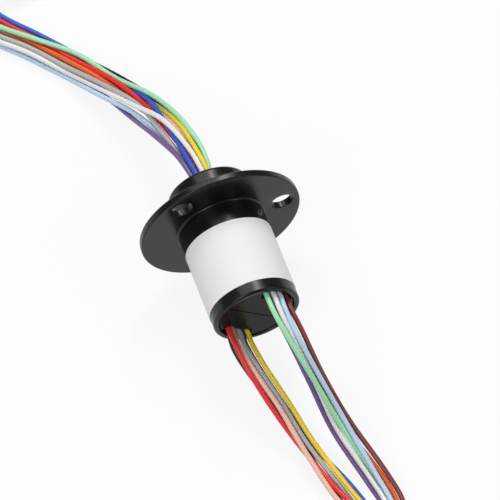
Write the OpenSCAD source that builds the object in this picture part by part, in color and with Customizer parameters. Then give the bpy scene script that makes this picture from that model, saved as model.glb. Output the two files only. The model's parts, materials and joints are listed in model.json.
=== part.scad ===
// Capsule slip ring with a mounting flange: twelve circuits, loose leads at
// both ends. Millimetres. The rotation axis lies along Y through the origin,
// which is the centre of the flange's mounting face. The body and its lead end
// point to -Y, the rotor and its leads to +Y, and +Z is up.
// Angles round the axis start at +X and turn towards +Z.

/* [Housing] */
// Outside diameter of the body that passes through the bracket
body_d = 22; // [21.5:0.1:24]
// Length of the body from the mounting face to the lead end
body_length = 26.8; // [26.5:0.1:32]
// Wall of the body at its lead end
body_wall = 1.4; // [1.3:0.05:1.8]
// Outside diameter of the flange
flange_d = 41; // [39.5:0.5:50]
// Thickness of the flange
flange_t = 1.9; // [1.6:0.1:3]
// Outside diameter of the boss behind the flange
boss_d = 20.4; // [19.6:0.1:22]
// Length of the boss from the flange to its rim
boss_length = 8.8; // [8.6:0.1:12]
// Thickness of the boss's front lip that stops the bearing
lip_t = 1.2; // [0.8:0.1:1.6]
// Open diameter of the front lip
lip_d = 14; // [13.6:0.1:14.6]

/* [Bolt holes] */
// Wall between a bolt hole and the flange's edge
hole_edge = 1.8; // [1.2:0.1:2.4]
// Diameter of each bolt hole
hole_d = 5.4; // [4:0.1:5.8]
// Number of bolt holes
hole_count = 3; // [2:1:6]
// Angle of the first bolt hole round the axis
hole_angle = 8.5; // [0:0.5:30]

/* [Label] */
// Width of the wrapped paper label
label_w = 17.9; // [12:0.1:18.4]
// Bare body between the mounting face and the label
label_gap = 5.7; // [5:0.1:6.4]
// Thickness of the label
label_t = 0.1; // [0.05:0.01:0.2]

/* [Slip rings] */
// Number of circuits, one ring each
ring_count = 12; // [4:1:12]
// Distance from one ring to the next
ring_pitch = 1.15; // [1.05:0.01:1.16]
// Thickness of each insulating fin between two rings
fin_t = 0.25; // [0.2:0.01:0.3]
// Outside diameter of a ring
ring_d = 9; // [8.8:0.1:9.2]
// Diameter at the bottom of a ring's brush groove
ring_groove_d = 8.6; // [8.5:0.05:8.7]
// Diameter of the insulating fins
fin_d = 9.8; // [9.6:0.1:10]

/* [Rotor] */
// Bore through the rotor for its leads
rotor_bore_d = 5.8; // [5.6:0.1:6]
// How far the rotor's hub stands out past the boss's rim
hub_out = 1.5; // [1:0.1:3]
// Diameter of the shoulder that seats on the front bearing
shoulder_d = 10; // [9.6:0.1:10.4]

/* [Front bearing] */
// Bore of the front bearing, which is the hub's diameter
front_bore_d = 8; // [7.8:0.05:8.2]
// Outside diameter of the front bearing
front_od = 16; // [15.8:0.1:16.4]
// Width of the front bearing
front_w = 4; // [3.8:0.1:4.2]
// Ball diameter of the front bearing
front_ball_d = 2.2; // [2:0.05:2.3]
// Number of balls in the front bearing
front_ball_count = 8; // [6:1:9]

/* [Rear bearing] */
// Bore of the rear bearing, which is the journal's diameter
rear_bore_d = 5; // [4.8:0.05:5.2]
// Outside diameter of the rear bearing
rear_od = 11; // [10.8:0.1:11.4]
// Width of the rear bearing
rear_w = 4; // [3.8:0.1:4.2]
// Ball diameter of the rear bearing
rear_ball_d = 1.8; // [1.6:0.05:1.9]
// Number of balls in the rear bearing
rear_ball_count = 7; // [5:1:8]

/* [Brush boards] */
// Distance from the bore's wall to a board's inner face
board_depth = 2.8; // [2.7:0.05:3]
// Thickness of a board
board_t = 1; // [0.8:0.1:1.1]
// Gap between a board's corners and the bore's wall
board_gap = 0.2; // [0.15:0.01:0.25]
// Diameter of a brush wire
brush_d = 0.3; // [0.2:0.05:0.35]
// How far a brush wire reaches past the axis
brush_past = 1.5; // [0.5:0.1:2.5]

/* [End plugs] */
// Thickness of the two half plugs in the lead end
plug_t = 3; // [2.6:0.1:3.5]
// How far the plugs sit below the rim
plug_inset = 0.3; // [0.1:0.05:0.6]
// Gap between a plug and the body's wall
plug_gap = 0.15; // [0.1:0.01:0.25]
// Width of the seam between the two plugs
seam_w = 0.3; // [0.2:0.05:0.5]
// Angle round the axis of the first lead exit
exit_angle = 48.5; // [40:0.5:56]
// Inner radius of a lead exit
exit_r = 6.6; // [6.4:0.1:6.8]
// Angle that a lead exit spans
exit_span = 64; // [60:1:70]
// Depth of a lead exit
exit_depth = 2; // [1.6:0.1:2.4]

/* [Leads] */
// Outside diameter of a lead's insulation
lead_d = 1.3; // [1.1:0.05:1.35]
// Full length of every lead, outside the housing
lead_length = 250; // [200:10:300]

/* [Hidden] */
$fn = 48;
clearance = 0.05;                       // running gap between moving faces
fit = 0.01;                             // gap of a seat that is pressed or glued
bore_d = body_d - 2 * body_wall;
hole_pcd = flange_d - hole_d - 2 * hole_edge;
rim_y = flange_t + boss_length;
lip_y = rim_y - lip_t;                  // the front bearing seats here
front_y = lip_y - front_w;              // rear face of the front bearing
bore_end_y = 1.2;                       // the main bore ends inside the flange
hub_end_y = rim_y + hub_out;
board_x = bore_d / 2 - board_depth;      // a board's inner face
board_w = 2 * sqrt(pow(bore_d / 2 - board_gap, 2) - pow(board_x + board_t, 2));
stack_y = 0.4;                          // front end of the ring stack
stack_end_y = stack_y - ring_count * ring_pitch;
ring_w = ring_pitch - fin_t - 2 * fit;
core_d = 7.4;                           // the rotor under its rings
rear_gap = 0.8;                         // from the ring stack to the rear bearing
rear_y = stack_end_y - rear_gap;        // front face of the rear bearing
carrier_lip = 0.6;
carrier_end_y = rear_y - rear_w - carrier_lip;
plug_face_y = plug_inset - body_length;
plug_back_y = plug_face_y + plug_t;
exit_floor_y = plug_face_y + exit_depth;
potting_y = rim_y - 2.7;                // the rotor leads leave the potting here
potting_end_y = stack_end_y + 0.9;
circlip_t = 0.6;
circlip_y = lip_y + 0.1;
race_gap = 0.05;                        // between a ball and its races
floor_z = -flange_d / 2;                // the leads come to lie at this height

// Centre lines of the three bundles of leads, from the housing to their coils.
rotor_path = [[0, 13, 0], [-0.5, 22, -0.8], [-2.4, 33, -4], [-5.4, 44, -9.4], [-10, 55, -14.4],
              [-16.6, 66, -17.2], [-24.4, 75.5, -18.2], [-31.6, 84, -18.6], [-36.5, 94, -18.7]];
left_path = [[-5.3, -31, -6.4], [-3.6, -37, -8.6], [-0.4, -46, -13.2], [2.7, -56, -17], [6.4, -69, -18.4],
             [9.2, -78, -18.7], [10.6, -87, -18.7]];
right_path = [[5.8, -31, 6], [6.5, -37, 3.4], [8.4, -46, -4], [11.5, -56, -12.4], [16, -69, -17.8],
              [17.2, -78, -18.6], [15, -87, -18.7]];
lane = 1.45;                             // spacing of the leads in a bundle

BLACK = [0.08, 0.08, 0.09];
BROWN = [0.42, 0.2, 0.16];
RED = [0.84, 0.17, 0.15];
ORANGE = [0.9, 0.36, 0.12];
YELLOW = [0.92, 0.8, 0.16];
GREEN = [0.5, 0.85, 0.6];
BLUE = [0.18, 0.34, 0.75];
PURPLE = [0.45, 0.33, 0.52];
GREY = [0.6, 0.6, 0.6];
WHITE = [0.93, 0.93, 0.93];
PINK = [0.95, 0.66, 0.6];
LIGHT_BLUE = [0.66, 0.8, 0.94];

// One row for each lead: its name and colour, the radius and angle at which it
// leaves, and its lane at each station of its bundle's centre line, counted in
// lane widths to the right and upwards as seen along the lead.
rotor_leads = [
    ["green", GREEN, 2.15, 0, [[1.54, 0], [2.2, 0.7], [2.4, 0.9], [2.2, 1.2], [1.45, 0.85], [1.6, 1.3],
        [0.6, 1.6], [-0.1, 1.4], [-0.5, 0.5]]],
    ["yellow", YELLOW, 2.15, 40, [[1.18, 0.99], [1.1, 1.1], [1.6, 0.45], [1.7, -0.3], [1.05, -1.15],
        [1, -0.85], [1.4, -0.5], [1.45, -0.5], [1.5, -0.5]]],
    ["white", WHITE, 2.15, 80, [[0.27, 1.52], [0, 1.5], [-0.6, 2.1], [-1.6, 1.45], [-1.6, 0.4],
        [-1.75, -0.1], [-1.8, 0.5], [-2.3, 0.5], [-2.5, 0.5]]],
    ["blue", BLUE, 2.15, 120, [[-0.77, 1.33], [-1, 0.9], [-0.25, 1.1], [1.3, 0.75], [1.2, -0.1],
        [1.9, 0.25], [2.3, 0.5], [2.4, 0.5], [2.5, 0.5]]],
    ["purple", PURPLE, 2.15, 160, [[-1.45, 0.53], [-2.1, 0.4], [-2.8, -0.2], [-2.6, -0.8], [-1.75, -0.95],
        [-1.3, -0.9], [-1.4, -0.5], [-1.5, -0.5], [-1.5, -0.5]]],
    ["grey", GREY, 2.15, 200, [[-1.45, -0.53], [-1.4, -0.5], [-1.6, 0.5], [-0.7, 0.85], [-0.9, 1],
        [-1.2, 0.65], [-0.85, 0.6], [-1.3, 0.6], [-1.5, 0.5]]],
    ["light_blue", LIGHT_BLUE, 2.15, 240, [[-0.77, -1.33], [-1.1, -1.5], [-1.7, -0.6], [-2.1, 0.2],
        [-2.45, -0.15], [-2.25, -0.95], [-2.3, -0.5], [-2.4, -0.5], [-2.5, -0.5]]],
    ["brown", BROWN, 2.15, 280, [[0.27, -1.52], [1, -1.2], [1, -1.5], [0.2, -1.4], [-0.8, -0.2],
        [-0.6, -0.2], [-0.5, -0.4], [-0.5, -0.5], [-0.5, -0.5]]],
    ["black", BLACK, 2.15, 320, [[1.18, -0.99], [1.6, -0.3], [2.1, -0.75], [2.7, -0.4], [2.4, 0.1],
        [2.4, -0.7], [2.3, -0.5], [2.4, -0.5], [2.5, -0.5]]],
    ["pink", PINK, 0.78, 20, [[0.52, 0.19], [0.5, 0.1], [0.7, 0.2], [0.75, -0.4], [0.35, -0.45],
        [0.35, -0.2], [0.4, -0.5], [0.5, -0.5], [0.5, -0.5]]],
    ["red", RED, 0.78, 140, [[-0.43, 0.36], [-0.5, 0.1], [-0.5, 0.1], [0.3, 0.45], [0.65, 1.3],
        [0.65, 0.75], [1.35, 0.5], [1.5, 0.5], [1.5, 0.5]]],
    ["orange", ORANGE, 0.78, 260, [[-0.1, -0.55], [-0.1, -0.95], [0.3, -0.75], [-0.25, -0.4], [0, 0.5],
        [-0.35, 1.2], [0.3, 0.5], [0.55, 0.5], [0.5, 0.5]]]
];
left_leads = [
    ["red", RED, 8, 204, [[1.35, 1.9], [1.65, 1.3], [1.7, 0.75], [1.2, 0.3], [0.6, 0.4], [0, 0.6],
        [0, 0.5]]],
    ["pink", PINK, 8, 220.5, [[0.6, 0.8], [0.7, 0.9], [0.8, 1.3], [1.3, 1.4], [1.7, 0.5], [1.4, 0.5],
        [1, 0.5]]],
    ["grey", GREY, 8, 236.5, [[-0.6, -0.1], [-0.4, 0.2], [-0.2, 0.6], [0.1, 0.7], [-0.4, -0.3],
        [-0.1, -0.4], [0, -0.5]]],
    ["yellow", YELLOW, 8, 253, [[-2.1, -0.7], [-1.6, 0.1], [-1.3, 0.7], [-1, 0.8], [-1.1, 0.6], [-1.1, 0.5],
        [-1, 0.5]]],
    ["black", BLACK, 8.75, 212.3, [[1.6, 0.8], [1.3, -0.2], [0.9, -0.1], [0.5, -0.5], [1, -0.6], [1, -0.6],
        [1, -0.5]]],
    ["blue", BLUE, 8.75, 244.7, [[-1.2, -1.15], [-0.9, -0.8], [-0.7, -0.4], [-0.8, -0.3], [-1.9, -0.2],
        [-1.7, -0.4], [-1, -0.5]]]
];
right_leads = [
    ["green", GREEN, 8.3, 73, [[2.3, 1.5], [1.8, 1.4], [0.9, 1.4], [0.35, 0.85], [0.3, -0.25], [0.2, -0.15],
        [0, -0.5]]],
    ["white", WHITE, 8.3, 59, [[1.1, 0.9], [0.95, 0.45], [0.5, 0.3], [1.1, 0.25], [1.35, 0.4], [1.2, 0.6],
        [1, 0.5]]],
    ["light_blue", LIGHT_BLUE, 8.3, 45, [[0.1, 0.3], [0.1, 0.8], [-0.4, 0.9], [-0.5, 1.25], [0.4, 1.15],
        [0.3, 0.9], [0, 0.5]]],
    ["brown", BROWN, 8.3, 25, [[-1.2, -1.5], [-1.3, -0.6], [-1.2, 0.4], [-1.5, 0.4], [-1.5, 0.5],
        [-1.6, 0.35], [-1, 0.5]]],
    ["purple", PURPLE, 7.3, 66, [[2, 0.3], [1.5, -0.4], [1.3, -0.2], [1.6, -0.65], [1.9, -0.5], [1.6, -0.4],
        [1, -0.5]]],
    ["orange", ORANGE, 7.3, 33, [[-0.1, -1.2], [-0.2, -0.8], [-0.4, -0.2], [-0.4, -0.2], [-0.65, 0.2],
        [-0.75, -0.1], [-1, -0.5]]]
];

// ---------------------------------------------------------------- helpers

// Turns its profile, drawn as [radius, y], round the rotation axis.
module turned() {
    rotate([-90, 0, 0]) rotate_extrude() children();
}

// The same through span degrees, centred on an angle round the axis.
module turned_sector(angle, span) {
    rotate([0, -angle, 0]) rotate([-90, 0, 0]) rotate([0, 0, -span / 2])
        rotate_extrude(angle = span) children();
}

// Moves its children out to an angle round the axis.
module at_angle(angle, radius = 0) {
    rotate([0, -angle, 0]) translate([radius, 0, 0]) children();
}

// A cylinder along the rotation axis from y0 to y1.
module along_axis(d, y0, y1) {
    translate([0, y0, 0]) rotate([-90, 0, 0]) cylinder(d = d, h = y1 - y0);
}

// A rectangle of a turned profile, from radius r0 to r1 and from y0 to y1.
module band(r0, r1, y0, y1) {
    translate([r0, y0]) square([r1 - r0, y1 - y0]);
}

// What lies between a square corner and its rounding. The corner is at a point
// and its circle's centre lies towards [sx, sy] from it.
module corner(at, sx, sy, c) {
    translate(at) difference() {
        translate([sx < 0 ? -c : -0.01, sy < 0 ? -c : -0.01]) square(c + 0.01);
        translate([sx * c, sy * c]) circle(r = c);
    }
}

// ---------------------------------------------------------------- stator

module housing_profile() {
    difference() {
        union() {
            band(0, body_d / 2, -body_length, flange_t);
            band(0, flange_d / 2, 0, flange_t);
            band(0, boss_d / 2, 0, rim_y);
            corner([body_d / 2, 0], 1, -1, 0.5);
            corner([boss_d / 2, flange_t], 1, 1, 0.8);
        }
        corner([body_d / 2, -body_length], -1, 1, 0.6);
        corner([flange_d / 2, 0], -1, 1, 0.4);
        corner([flange_d / 2, flange_t], -1, -1, 0.5);
        corner([boss_d / 2, rim_y], -1, -1, 1);
        corner([bore_d / 2, -body_length], 1, 1, 0.3);
        band(-1, bore_d / 2, -body_length - 1, bore_end_y);
        band(-1, front_od / 2 + fit, 0, lip_y);
        band(-1, lip_d / 2, 0, rim_y + 1);
    }
}

module housing() {
    color([0.1, 0.1, 0.11]) difference() {
        union() {
            turned() housing_profile();
            at_angle(34.5, body_d / 2 - 0.15) translate([0, -3.2, 0]) sphere(d = 0.8);
            at_angle(134, body_d / 2 - 0.1) translate([0, 0.6 - label_gap, -0.15]) cube([0.22, label_gap - 1, 0.3]);
        }
        for (i = [0 : hole_count - 1]) at_angle(hole_angle + i * 360 / hole_count, hole_pcd / 2)
            along_axis(hole_d, -1, flange_t + 1);
    }
}

module label() {
    color([0.93, 0.93, 0.92]) turned_sector(90, 356)
        band(body_d / 2 + fit, body_d / 2 + fit + label_t, -label_gap - label_w, -label_gap);
}

// Half of the plug that closes the lead end, with its lead exit at an angle
// and two legs that reach back to the bearing carrier.
module end_plug(angle) {
    r = bore_d / 2 - plug_gap;
    color([0.11, 0.11, 0.12]) difference() {
        union() {
            turned_sector(angle, 180) difference() {
                band(0, r, plug_face_y, plug_back_y);
                corner([r, plug_face_y], -1, 1, 0.2);
            }
            for (side = [-1, 1]) turned_sector(angle + side * 72, 20)
                band(r - 1.6, r - 0.2, plug_back_y - 0.5, carrier_end_y - fit);
        }
        at_angle(angle) translate([-1, plug_face_y - 1, -r - 1]) cube([1 + seam_w / 2, plug_t + 2, 2 * r + 2]);
        turned_sector(angle, exit_span) band(exit_r, r + 1, plug_face_y - 1, exit_floor_y);
    }
}

module end_plug_a() { end_plug(exit_angle); }
module end_plug_b() { end_plug(exit_angle + 180); }

module rear_bearing_carrier() {
    r = bore_d / 2 - clearance;
    color([0.16, 0.16, 0.17]) difference() {
        turned() difference() {
            band(0, r, carrier_end_y, rear_y);
            band(-1, rear_od / 2 + fit, rear_y - rear_w, rear_y + 1);
            band(-1, rear_od / 2 - 0.9, carrier_end_y - 1, rear_y + 1);
        }
        for (angle = [exit_angle, exit_angle + 180]) turned_sector(angle, exit_span)
            band(rear_od / 2 + 1.4, r + 1, carrier_end_y - 1, rear_y + 1);
    }
}

// ---------------------------------------------------------------- bearings

// A bearing is [bore, outside diameter, width, ball diameter, ball count, y of its rear face].
front_bearing = [front_bore_d, front_od, front_w, front_ball_d, front_ball_count, front_y];
rear_bearing = [rear_bore_d, rear_od, rear_w, rear_ball_d, rear_ball_count, rear_y - rear_w];

function pitch_r(b) = (b[0] + b[1]) / 4;
function middle_y(b) = b[5] + b[2] / 2;
function land(b) = 0.32 * b[3];         // from the balls' circle to a ring's land

module race(b) {
    translate([pitch_r(b), middle_y(b)]) circle(d = b[3] + 2 * race_gap);
}

module outer_ring(b) {
    color([0.78, 0.79, 0.8]) turned() difference() {
        band(pitch_r(b) + land(b), b[1] / 2, b[5], b[5] + b[2]);
        race(b);
        corner([b[1] / 2, b[5]], -1, 1, 0.2);
        corner([b[1] / 2, b[5] + b[2]], -1, -1, 0.2);
    }
}

module inner_ring(b) {
    color([0.78, 0.79, 0.8]) turned() difference() {
        band(b[0] / 2 + fit, pitch_r(b) - land(b), b[5], b[5] + b[2]);
        race(b);
        corner([b[0] / 2 + fit, b[5]], 1, 1, 0.2);
        corner([b[0] / 2 + fit, b[5] + b[2]], 1, -1, 0.2);
    }
}

module at_balls(b) {
    for (i = [0 : b[4] - 1]) at_angle(i * 360 / b[4], pitch_r(b)) translate([0, middle_y(b), 0]) children();
}

module balls(b) {
    color([0.85, 0.86, 0.87]) at_balls(b) sphere(d = b[3]);
}

module cage(b) {
    half_w = b[3] / 2 + 0.3;
    half_t = 0.24 * b[3];
    color([0.75, 0.62, 0.35]) difference() {
        turned() band(pitch_r(b) - half_t, pitch_r(b) + half_t, middle_y(b) - half_w, middle_y(b) + half_w);
        for (i = [0 : b[4] - 1]) at_angle(i * 360 / b[4], pitch_r(b) - b[3]) translate([0, middle_y(b), 0])
            rotate([0, 90, 0]) cylinder(d = b[3] + 2 * race_gap, h = 2 * b[3]);
    }
}

// ---------------------------------------------------------------- brushes

function ring_y(i) = stack_y - (i + 0.5) * ring_pitch;
brush_z = ring_groove_d / 2 + clearance + brush_d / 2;

// A board behind the lead exit at an angle, with solder pads for its brushes.
// The first board serves the even rings and the second the odd ones.
module brush_board(angle, first) {
    y0 = rear_y + 0.1;
    color([0.13, 0.38, 0.22]) at_angle(angle) union() {
        translate([board_x, y0, -board_w / 2]) cube([board_t, bore_end_y - 0.3 - y0, board_w]);
        for (i = [first : 2 : ring_count - 1], side = [-1, 1])
            translate([board_x + board_t - 0.05, ring_y(i), side * brush_z]) rotate([0, 90, 0])
                cylinder(d = 0.8, h = 0.15);
    }
}

module brush_wires(angle, first) {
    color([0.86, 0.7, 0.35]) at_angle(angle) for (i = [first : 2 : ring_count - 1], side = [-1, 1])
        translate([-brush_past, ring_y(i), side * brush_z]) rotate([0, 90, 0])
            cylinder(d = brush_d, h = board_x + brush_past);
}

module brush_board_a() { brush_board(exit_angle, 0); }
module brush_board_b() { brush_board(exit_angle + 180, 1); }
module brush_wires_a() { brush_wires(exit_angle, 0); }
module brush_wires_b() { brush_wires(exit_angle + 180, 1); }

// ---------------------------------------------------------------- rotor

module rotor_core() {
    color([0.12, 0.12, 0.13]) turned() difference() {
        union() {
            band(0, rear_bore_d / 2, rear_y - rear_w - 0.2, rear_y);
            band(0, rear_bore_d / 2 + 0.8, rear_y, stack_end_y);
            band(0, core_d / 2, stack_end_y, stack_y);
            for (i = [0 : ring_count]) band(0, fin_d / 2, stack_y - i * ring_pitch - fin_t / 2,
                                            stack_y - i * ring_pitch + fin_t / 2);
            band(0, ring_d / 2, stack_y, front_y);
            band(0, shoulder_d / 2, front_y - 0.6, front_y);
            band(0, front_bore_d / 2, front_y, hub_end_y);
        }
        corner([front_bore_d / 2, hub_end_y], -1, -1, 0.3);
        corner([rotor_bore_d / 2, hub_end_y], 1, -1, 0.3);
        band(front_bore_d / 2 - 0.3, front_bore_d, circlip_y - 0.05, circlip_y + circlip_t + 0.05);
        band(-1, rotor_bore_d / 2, potting_end_y, hub_end_y + 1);
    }
}

module rotor_potting() {
    color([0.2, 0.17, 0.12]) along_axis(rotor_bore_d - 2 * fit, potting_end_y + fit, potting_y);
}

module slip_rings() {
    r = ring_d / 2;
    groove_r = ring_groove_d / 2;
    color([0.9, 0.72, 0.3]) for (i = [0 : ring_count - 1]) translate([0, ring_y(i), 0]) turned()
        polygon([[core_d / 2 + fit, -ring_w / 2], [r, -ring_w / 2], [r, -0.3], [groove_r, -0.15],
                 [groove_r, 0.15], [r, 0.3], [r, ring_w / 2], [core_d / 2 + fit, ring_w / 2]]);
}

// The open ring that holds the hub in the front bearing, with two eyes at its gap.
module circlip() {
    r = front_bore_d / 2 - 0.25;
    eye_x = r + 0.75;
    color([0.55, 0.56, 0.58]) translate([0, circlip_y, 0]) rotate([-90, 0, 0]) linear_extrude(circlip_t)
        rotate(-62) difference() {
            union() {
                difference() {
                    circle(r = r + 1.1);
                    rotate(-20) polygon([[0, 0], [9, 0], [9, 9 * tan(40)]]);
                }
                for (side = [-1, 1]) rotate(side * 24) translate([eye_x, 0]) circle(r = 0.85);
            }
            circle(r = r);
            for (side = [-1, 1]) rotate(side * 24) translate([eye_x + 0.1, 0]) circle(r = 0.35);
        }
}

// ---------------------------------------------------------------- leads

function unit(v) = v / norm(v);

// Direction of a list of points at one of them. The last runs straight along Y.
function heading(p, i) = i < len(p) - 1 ? unit(p[i + 1] - p[max(i - 1, 0)]) : [0, sign(p[i][1]), 0];
function side_of(t) = unit(cross(t, [0, 0, 1]));

// A lead's own points: where it leaves, a straight start, then its lanes.
function lead_points(row, path, y0, y1) = concat(
    [for (y = [y0, y1]) [row[2] * cos(row[3]), y, row[2] * sin(row[3])]],
    [for (i = [0 : len(path) - 1]) let (t = heading(path, i), s = side_of(t))
        path[i] + lane * (row[4][i][0] * s + row[4][i][1] * cross(s, t))]);

// A smooth curve through the points, with steps pieces between two of them.
function smooth_at(p, i, t) = let (
        a = p[max(i - 1, 0)], b = p[i], c = p[i + 1], d = p[min(i + 2, len(p) - 1)])
    0.5 * (2 * b + (c - a) * t + (2 * a - 5 * b + 4 * c - d) * t * t + (3 * b - a - 3 * c + d) * t * t * t);
function smooth(p, steps) = concat(
    [for (i = [0 : len(p) - 2], j = [0 : steps - 1]) smooth_at(p, i, j / steps)], [p[len(p) - 1]]);

module tube(points, d, sides = 8) {
    rings = [for (i = [0 : len(points) - 1]) let (t = heading(points, i), s = side_of(t), u = cross(s, t))
        for (k = [0 : sides - 1]) points[i] + d / 2 * (cos(k * 360 / sides) * s + sin(k * 360 / sides) * u)];
    last = (len(points) - 1) * sides;
    faces = concat(
        [[for (k = [0 : sides - 1]) k]],
        [for (i = [0 : len(points) - 2], k = [0 : sides - 1]) let (a = i * sides + k, b = i * sides + (k + 1) % sides)
            [a, a + sides, b + sides, b]],
        [[for (k = [sides - 1 : -1 : 0]) last + k]]);
    polyhedron(rings, faces);
}

module rotor_lead(row) {
    color(row[1]) tube(smooth(lead_points(row, rotor_path, potting_y, hub_end_y - 0.5), 3), lead_d);
}

module stator_lead(row, path) {
    color(row[1]) tube(smooth(lead_points(row, path, exit_floor_y, plug_face_y - 1), 3), lead_d);
}

// The leads' unseen length, wound six leads wide in levels of two rows, with
// the flat run of leads that goes into the coil along a tangent.
coil_mid_r = 15.5;
coil_w = 6 * lane;
coil_inner_r = coil_mid_r - 2.5 * lane; // its inmost lane
coil_lift = 0.4;                        // the tie passes underneath
coil_run = 15.9;                        // starts just past the leads' ends
rotor_coil_at = [-21, 110];
stator_coil_at = [-2.8, -103];

function length_of(p, i = 0) = i + 1 < len(p) ? norm(p[i + 1] - p[i]) + length_of(p, i + 1) : 0;
function coil_h(path) = 2 * lane * ceil((lead_length - length_of(path) - coil_run) / (2 * PI * coil_inner_r));

// The run reaches the coil's side at an angle round it, from one side or the other.
module lead_coil(at, side, path) {
    color([0.5, 0.5, 0.52]) translate([at[0], at[1], floor_z + coil_lift]) union() {
        rotate_extrude() translate([coil_mid_r - coil_w / 2, 0]) square([coil_w, coil_h(path)]);
        translate([side * coil_mid_r - coil_w / 2, side < 0 ? -coil_run : 0, 0]) cube([coil_w, coil_run, 2 * lane]);
    }
}

// A flat band closed round the coil's section, at an angle round the coil.
module lead_tie(at, angle, path) {
    gap = 0.15;
    band_t = 0.25;
    band_w = 2.5;
    inner = [coil_w + 2 * gap, coil_h(path) + 2 * gap];
    color([0.1, 0.1, 0.1]) translate([at[0], at[1], floor_z + coil_lift]) rotate(angle)
        translate([coil_mid_r, 0, 0]) difference() {
            translate([-inner[0] / 2 - band_t, -band_w / 2, -gap - band_t])
                cube([inner[0] + 2 * band_t, band_w, inner[1] + 2 * band_t]);
            translate([-inner[0] / 2, -band_w, -gap]) cube([inner[0], 2 * band_w, inner[1]]);
        }
}

// ---------------------------------------------------------------- nodes

housing();
label();
end_plug_a();
end_plug_b();
rear_bearing_carrier();
outer_ring(front_bearing);  // front_bearing_outer_ring
inner_ring(front_bearing);  // front_bearing_inner_ring
balls(front_bearing);  // front_bearing_balls
cage(front_bearing);  // front_bearing_cage
outer_ring(rear_bearing);  // rear_bearing_outer_ring
inner_ring(rear_bearing);  // rear_bearing_inner_ring
balls(rear_bearing);  // rear_bearing_balls
cage(rear_bearing);  // rear_bearing_cage
brush_board_a();
brush_board_b();
brush_wires_a();
brush_wires_b();
rotor_core();
rotor_potting();
slip_rings();
circlip();
lead_coil(rotor_coil_at, -1, rotor_path);  // rotor_lead_coil
lead_tie(rotor_coil_at, 151, rotor_path);  // rotor_lead_tie
lead_coil(stator_coil_at, 1, right_path);  // stator_lead_coil
lead_tie(stator_coil_at, -29, right_path);  // stator_lead_tie
for (row = rotor_leads) rotor_lead(row);
for (row = left_leads) stator_lead(row, left_path);
for (row = right_leads) stator_lead(row, right_path);
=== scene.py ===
"""Scene of a capsule slip ring with a mounting flange, on a plain pale floor.

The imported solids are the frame. The script dresses them and adds what they
leave plain: the leads at their full length, the housing's shell, the label,
the resin round the leads and the ties. The rotation axis lies along Y, its
origin is the centre of the flange's mounting face, and lengths are in metres.
"""

import json
import logging
import math
from dataclasses import dataclass, field
from enum import Enum

import bmesh
import bpy
from mathutils import Matrix, Vector, geometry

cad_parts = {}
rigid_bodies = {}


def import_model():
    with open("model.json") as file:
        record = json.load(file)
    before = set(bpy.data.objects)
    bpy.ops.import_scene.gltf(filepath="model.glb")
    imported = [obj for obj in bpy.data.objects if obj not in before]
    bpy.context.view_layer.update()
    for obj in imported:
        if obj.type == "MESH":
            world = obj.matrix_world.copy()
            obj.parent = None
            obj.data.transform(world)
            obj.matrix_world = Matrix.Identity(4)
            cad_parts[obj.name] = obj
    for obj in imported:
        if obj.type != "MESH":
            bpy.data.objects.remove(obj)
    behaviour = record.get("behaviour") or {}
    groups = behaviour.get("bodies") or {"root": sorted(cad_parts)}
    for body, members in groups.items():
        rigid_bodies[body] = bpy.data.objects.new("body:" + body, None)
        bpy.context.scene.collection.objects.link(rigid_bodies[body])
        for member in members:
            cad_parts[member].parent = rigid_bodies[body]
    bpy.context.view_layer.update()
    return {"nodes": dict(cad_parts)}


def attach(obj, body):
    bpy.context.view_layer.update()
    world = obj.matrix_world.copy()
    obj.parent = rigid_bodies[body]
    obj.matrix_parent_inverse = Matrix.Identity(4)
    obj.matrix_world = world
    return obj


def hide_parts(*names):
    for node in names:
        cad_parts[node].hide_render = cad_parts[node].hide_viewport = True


MM = 0.001
TURN = 2 * math.pi
TOUCH = 1e-7  # points nearer than this are one
LOG = logging.getLogger("slip_ring")

Pair = tuple[float, float]
Triple = tuple[float, float, float]


def mm(*points: tuple[float, ...]) -> list[Vector]:
    """Points that are given in millimetres, in metres."""
    return [Vector(p) * MM for p in points]


def tint(red: int, green: int, blue: int) -> Triple:
    """A colour of three display values from 0 to 255, as the shader wants it."""
    levels = (value / 255 for value in (red, green, blue))
    return tuple(v / 12.92 if v <= 0.04045 else ((v + 0.055) / 1.055) ** 2.4 for v in levels)


def outwards(azimuth: float, elevation: float) -> Vector:
    """The direction from the object to a place round it.

    Args:
        azimuth: Degrees from -Y towards +X.
        elevation: Degrees above the floor.

    Returns:
        The unit direction.
    """
    turn, tilt = math.radians(azimuth), math.radians(elevation)
    return Vector((math.sin(turn) * math.cos(tilt), -math.cos(turn) * math.cos(tilt), math.sin(tilt)))


def placed(thing: bpy.types.Object, at: Vector, back: Vector) -> None:
    """Links a lamp or camera to the scene and points it against a direction."""
    bpy.context.scene.collection.objects.link(thing)
    thing.location = at
    thing.rotation_mode = "QUATERNION"
    thing.rotation_quaternion = (-back).to_track_quat("-Z", "Y")


# ------------------------------------------------------------------ shader kit


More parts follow.
